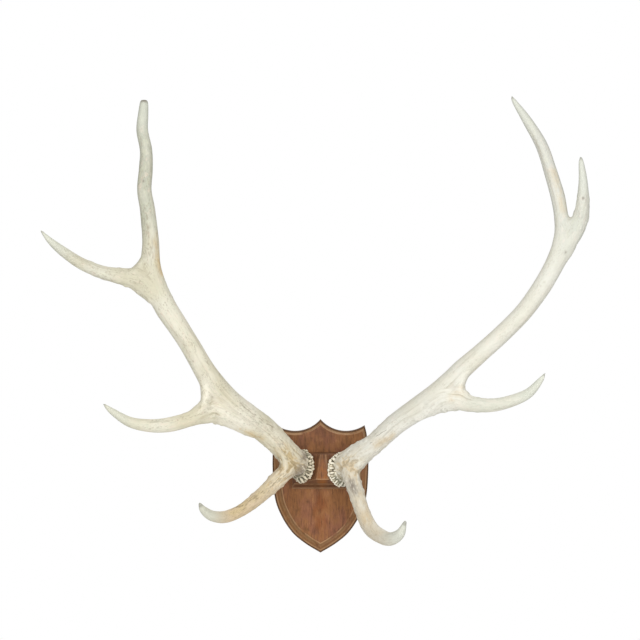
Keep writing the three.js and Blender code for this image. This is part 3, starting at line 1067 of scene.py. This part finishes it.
def crack_share(paint, start, end):
    """Share of a thin wavering line between two x, z places, given in mm."""
    start, end = np.array(start) * MM, np.array(end) * MM
    along = unit(end - start)
    here = paint.place(paint.here(), (1, 1, 1), (-start[0], 0, -start[1]))
    run = paint.dot(here, (along[0], 0, along[1]))
    waver = paint.math("SUBTRACT", paint.noise(here, (170, 170, 170), 2), 0.5)
    aside = paint.dot(here, (-along[1], 0, along[0]))
    aside = paint.math("SUBTRACT", aside, paint.times(waver, CRACK_WAVER * MM))
    half = CRACK_HALF_WIDTH * MM
    length = float(np.linalg.norm(end - start))
    return paint.times(paint.band(aside, -half, half, half), paint.band(run, 0, length, 2 * MM))


def bone_tones(paint, noises, index):
    """The bone's broad tones: ivory, greener and greyer upwards, and tan near the base, with painted light
    on the marked forks.
    """
    here = paint.here()
    blotches, flecks = noises["blotches"], noises["flecks"]
    paint.start("pale")
    paint.stain("deep", paint.ramp(paint.noise(here, (14, 14, 14), 3), 0.35, 0.65))
    green = paint.math("ADD", paint.times(paint.attribute("green"), 0.75), 0.2)
    paint.stain("green", green, paint.ramp(blotches, 0.3, 0.6))
    # Painted light on the marked forks, in streaks.
    paint.stain("painted_light", paint.attribute("painted_light"), paint.ramp(noises["streaks"], 0.7, 0.4), 0.8)
    height = paint.node("ShaderNodeSeparateXYZ", {0: here}).outputs["Z"]
    # Greyer towards the top.
    paint.stain("upper_grey", paint.ramp(height, *UPPER_GREY), paint.ramp(flecks, 0.2, 0.6), 0.75)
    paint.stain("blush", paint.ramp(flecks, 0.54, 0.66), 0.45)
    paint.stain("green", paint.ramp(flecks, 0.46, 0.34), 0.45)
    paint.stain("brow", paint.attribute("brow"), noises["tip_clean"], BROW_SHARE[index])
    tan = paint.math("ADD", paint.times(noises["base_or_brow"], 0.55), paint.attribute("warm"))
    paint.stain("tan", tan, TAN_SHARE[index], paint.ramp(blotches, 0.34, 0.62))


def bone_dirt(paint, noises, index):
    """Adds dirt in streaks, specks, hollows, dashes and pits, and rubs the raised bone pale."""
    relief, dashes = paint.attribute("relief"), noises["dashes"]
    stained, blotched = noises["base_or_brow"], paint.ramp(noises["blotches"], 0.4, 0.6)
    paint.stain("dirt", paint.ramp(noises["streaks"], 0.52, 0.78), 0.35, noises["tip_clean"])
    paint.stain("dirt", paint.ramp(noises["specks"], 0.5, 0.66), blotched, SPECK_SHARE[index])
    paint.stain("dirt", paint.ramp(relief, -0.03, -0.3), paint.blend(stained, 0.2, 0.45))
    paint.stain("pale", paint.ramp(relief, 0.02, 0.18), noises["near_base"], 0.55)
    paint.stain("dirt", paint.blend(stained, 0.06, 0.32), paint.ramp(dashes, 0.54, 0.7))
    paint.stain("dirt", paint.attribute("pitted"), paint.ramp(dashes, 0.44, 0.66), 0.6)


def bone_tips(paint, noises):
    """Polishes the tips, and adds the dusky marks and the dark points."""
    from_tip = paint.attribute("from_tip")
    paint.stain("polished_tip", paint.ramp(from_tip, *POLISH), 0.6)
    paint.stain("dusk", paint.attribute("dusk"), paint.ramp(noises["dashes"], 0.28, 0.55), 0.85)
    paint.stain("tip_point", paint.ramp(from_tip, *POINT), 0.5)


def pearl_colour(paint):
    """The burr's colour: cream on the pearls, dull beside them and dark between the teeth."""
    relief = paint.attribute("relief")
    mottle = paint.noise(paint.here(), (240, 240, 240), 3)
    paint.start("pearl_shade")
    paint.stain("pearl", paint.ramp(relief, -0.1, 0.15))
    paint.stain("pearl_shade", paint.ramp(mottle, 0.5, 0.7), 0.6)
    dirt = paint.blend(paint.attribute("teeth"), 0.35, 1.0)
    paint.stain("pearl_gap", paint.ramp(relief, 0.02, -0.3), dirt)
    paint.stain("moss", paint.attribute("dusk"), paint.ramp(relief, 0.45, 0.0), 0.8)
    return paint.colour


def bone_material(side):
    index = list(BURRS).index(side)
    paint = Paint(f"{side}_antler_bone", {name: pair[index] for name, pair in BONE.items()})
    paint.tints["pearls"] = pearl_colour(paint)
    noises = {name: paint.along_bone(*settings) for name, settings in BONE_NOISE.items()}
    noises["tip_clean"] = paint.ramp(paint.attribute("from_tip"), *CLEAN_TIP)
    noises["near_base"] = paint.ramp(paint.attribute("from_burr"), *NEAR_BASE)
    base_or_brow = paint.math("MAXIMUM", noises["near_base"], paint.attribute("brow"))
    noises["base_or_brow"] = paint.times(base_or_brow, noises["tip_clean"])
    bone_tones(paint, noises, index)
    bone_dirt(paint, noises, index)
    for start, end in CRACKS[side]:
        paint.stain("crack", crack_share(paint, start, end), paint.attribute("cracked"), 0.8)
    bone_tips(paint, noises)
    paint.stain("pearls", paint.attribute("ring"))
    streaks, dashes, fibres = noises["streaks"], noises["dashes"], noises["fibres"]
    bumps = paint.bumps([streaks, 0.0006, 0.5], [dashes, 0.0003, 0.3], [fibres, 0.0002, 0.5])
    return paint.finish(paint.blend(streaks, 0.5, 0.75), Normal=bumps)


# The wood's tints, on the shield and on the block.
WOOD = {
    "light": [(159, 108, 65), (140, 96, 62)],
    "mid": [(136, 90, 52), (114, 76, 48)],
    "dark": [(64, 38, 22), (62, 38, 24)],
    "patch": [(142, 92, 68), (126, 88, 70)],
    "sheen": [(178, 126, 84), (160, 116, 78)],
    "glow": [(132, 76, 40), (164, 104, 52)],
    # worn edges, with a painted highlight
    "worn": [(184, 146, 108)] * 2,
    # painted light on the moulding's rising slope
    "brushed": [(146, 112, 76)] * 2,
    # painted shade in the moulding's cove
    "dulled": [(124, 92, 56)] * 2,
    # painted shade along the shield's outer edge and its seam
    "outer_edge": [(78, 56, 38)] * 2,
    # painted shade under the block's foot
    "foot_shade": [(82, 48, 20)] * 2,
}
# The x and z of the middle of a warm streak, and its half-width, in metres.
GLOW_PLACE = {"shield": (0.0, -0.045, 0.014), "block": (0.003, 0.024, 0.01)}
GLOW_STRETCH = 3
# Bands of the shield's moulding, in mm: the first two from its outer edge inwards ...
# painted shade on the outer edge, then a painted highlight inside it
RIM = (-1, 3.0)
RIM_LIGHT = (3.3, 5.2)
# ... and the others from its inner arris inwards.
# painted shade in the cove, painted light on the rising slope, a painted highlight with some wear on the
# inner arris, and a thin painted shadow in the seam beyond it
SLOPE = (-20, -7)
LIT_SLOPE_BAND = (-7, -0.5)
ARRIS_LIGHT = (-1.6, 0.7)
SEAM = (1.0, 2.2)
BAND_SOFTNESS = 0.6


def wood_glow(paint, here, place):
    """Share of a warm streak that runs with the grain."""
    x, _, z = paint.node("ShaderNodeSeparateXYZ", {0: here}).outputs
    glow_x, glow_z, half_width = place
    off_x = paint.math("DIVIDE", paint.math("SUBTRACT", x, glow_x), half_width)
    off_z = paint.math("DIVIDE", paint.math("SUBTRACT", z, glow_z), GLOW_STRETCH * half_width)
    off = paint.math("ADD", paint.times(off_x, off_x), paint.times(off_z, off_z))
    return paint.ramp(off, 1.6, 0.0)


def stain_moulding(paint, mottle):
    """Paints light and shade on the bands of the shield's moulding: painted shade on the outer edge, in the
    cove and in a thin seam, painted light on the rising slope, and painted highlights with some wear on the
    rims.
    """
    arris, inset = paint.attribute("arris"), paint.attribute("inset")
    uneven = paint.ramp(mottle, 0.25, 0.55)
    bands = [
        ["dulled", arris, SLOPE, 0.5],
        ["brushed", arris, LIT_SLOPE_BAND, 0.75, uneven],
        ["worn", inset, RIM_LIGHT, 0.6, uneven],
        ["worn", arris, ARRIS_LIGHT, 0.6, uneven],
        ["outer_edge", arris, SEAM, 0.35, uneven],
        ["outer_edge", inset, RIM, 0.75],
    ]
    for tint, measure, (low, high), *shares in bands:
        paint.stain(tint, paint.band(measure, low, high, BAND_SOFTNESS), *shares)


def wood_material(name):
    index = list(GLOW_PLACE).index(name)
    paint = Paint(f"{name}_hardwood", {tint: pair[index] for tint, pair in WOOD.items()})
    here = paint.here()
    figure = paint.noise(here, (22, 22, 5), 3, distortion=0.8)
    grain = paint.noise(here, (300, 300, 9), 6, 0.65)
    pores = paint.noise(here, (700, 700, 55), 2)
    mottle = paint.noise(here, (70, 70, 45), 4, 0.6)
    patches = paint.noise(here, (34, 34, 18), 5, 0.65, shift=(3, 0, 5))
    shade_and_sheen = paint.noise(here, (95, 95, 42), 5, 0.7, shift=(7, 0, 2))

    paint.start("mid")
    paint.stain("light", paint.ramp(figure, 0.3, 0.7))
    paint.stain("patch", paint.ramp(patches, 0.42, 0.62), 0.8)
    # Painted shade and painted sheen in soft random clouds.
    paint.stain("dark", paint.ramp(shade_and_sheen, 0.5, 0.7), 0.5)
    paint.stain("sheen", paint.ramp(shade_and_sheen, 0.47, 0.33), 0.5)
    paint.stain("dark", paint.ramp(grain, 0.44, 0.8), 0.5)
    paint.stain("glow", wood_glow(paint, here, GLOW_PLACE[name]), paint.ramp(mottle, 0.2, 0.7))
    paint.stain("dark", paint.ramp(pores, 0.54, 0.68), 0.55)
    stain_moulding(paint, mottle)
    # Painted shade under the block's foot.
    paint.stain("foot_shade", paint.attribute("foot_shade"), 0.7)
    # Worn edges of the block, with a painted highlight along them.
    paint.stain("worn", paint.attribute("wear_and_highlight"), paint.ramp(mottle, 0.25, 0.5), 0.8)
    bumps = paint.bumps([grain, 0.0003, 0.5], [pores, 0.0001, 0.6])
    return paint.finish(paint.blend(mottle, 0.5, 0.75), Normal=bumps, **{"Specular IOR Level": 0.2})


def floor_material():
    paint = Paint("pale_floor", {"light": (250, 250, 249), "dark": (246, 246, 246)})
    paint.start("light")
    paint.stain("dark", paint.noise(paint.here(), (0.8, 0.8, 0.8), 2))
    return paint.finish(0.9)


# ---- stage

CAMERA_PLACE = (-0.0009, -3.2, 0.3069)
FOCAL_PIXELS = 1730
SENSOR = 36
FLOOR_HEIGHT = -1.2
FLOOR_RADIUS = 2.6
FLOOR_SIDES = 64
LIGHT_AIM = (0, -0.15, 0.25)
ROOM_LIGHT = 0.4  # the white room's strength as a light


def make_camera():
    data = bpy.data.cameras.new("camera")
    data.sensor_width = SENSOR
    data.lens = FOCAL_PIXELS / PHOTO_SIDE * SENSOR
    camera = add_object("camera", data)
    camera.location = CAMERA_PLACE
    camera.rotation_euler = (math.radians(90), 0, 0)
    bpy.context.scene.camera = camera


def make_floor():
    corners = [[x, y, FLOOR_HEIGHT] for x, y in circle(FLOOR_SIDES) * FLOOR_RADIUS]
    floor = mesh_object("studio_floor", corners, [tuple(range(FLOOR_SIDES))])
    floor.data.materials.append(floor_material())


def make_light(name, place, size, power):
    data = bpy.data.lights.new(name, "AREA")
    data.shape = "DISK"
    data.size = size
    data.energy = power
    light = add_object(name, data)
    light.location = place
    aim = Vector(LIGHT_AIM) - Vector(place)
    light.rotation_euler = aim.to_track_quat("-Z", "Y").to_euler()


def make_world():
    """A white room: white to the camera, softer as a light."""
    world = bpy.data.worlds.new("studio")
    world.use_nodes = True
    tree = world.node_tree
    background = tree.nodes["Background"]
    background.inputs["Color"].default_value = (1, 1, 1, 1)
    seen = tree.nodes.new("ShaderNodeLightPath").outputs["Is Camera Ray"]
    strength = tree.nodes.new("ShaderNodeMapRange")
    tree.links.new(seen, strength.inputs["Value"])
    strength.inputs["To Min"].default_value = ROOM_LIGHT
    strength.inputs["To Max"].default_value = 1.0
    tree.links.new(strength.outputs[0], background.inputs["Strength"])
    bpy.context.scene.world = world


def make_stage():
    make_floor()
    make_world()
    make_light("softbox_above", (-0.5, -2.2, 2.3), 1.6, 20)
    make_light("softbox_front", (0.3, -3.4, 0.4), 2.0, 57)
    make_light("softbox_behind", (0.5, 2.4, 2.6), 1.8, 30)
    bpy.context.scene.view_settings.view_transform = "Standard"


# ---- everything

make_camera()
make_shield(wood_material("shield"))
make_block(wood_material("block"))
for side in BURRS:
    make_antler(side, bone_material(side))
make_stage()
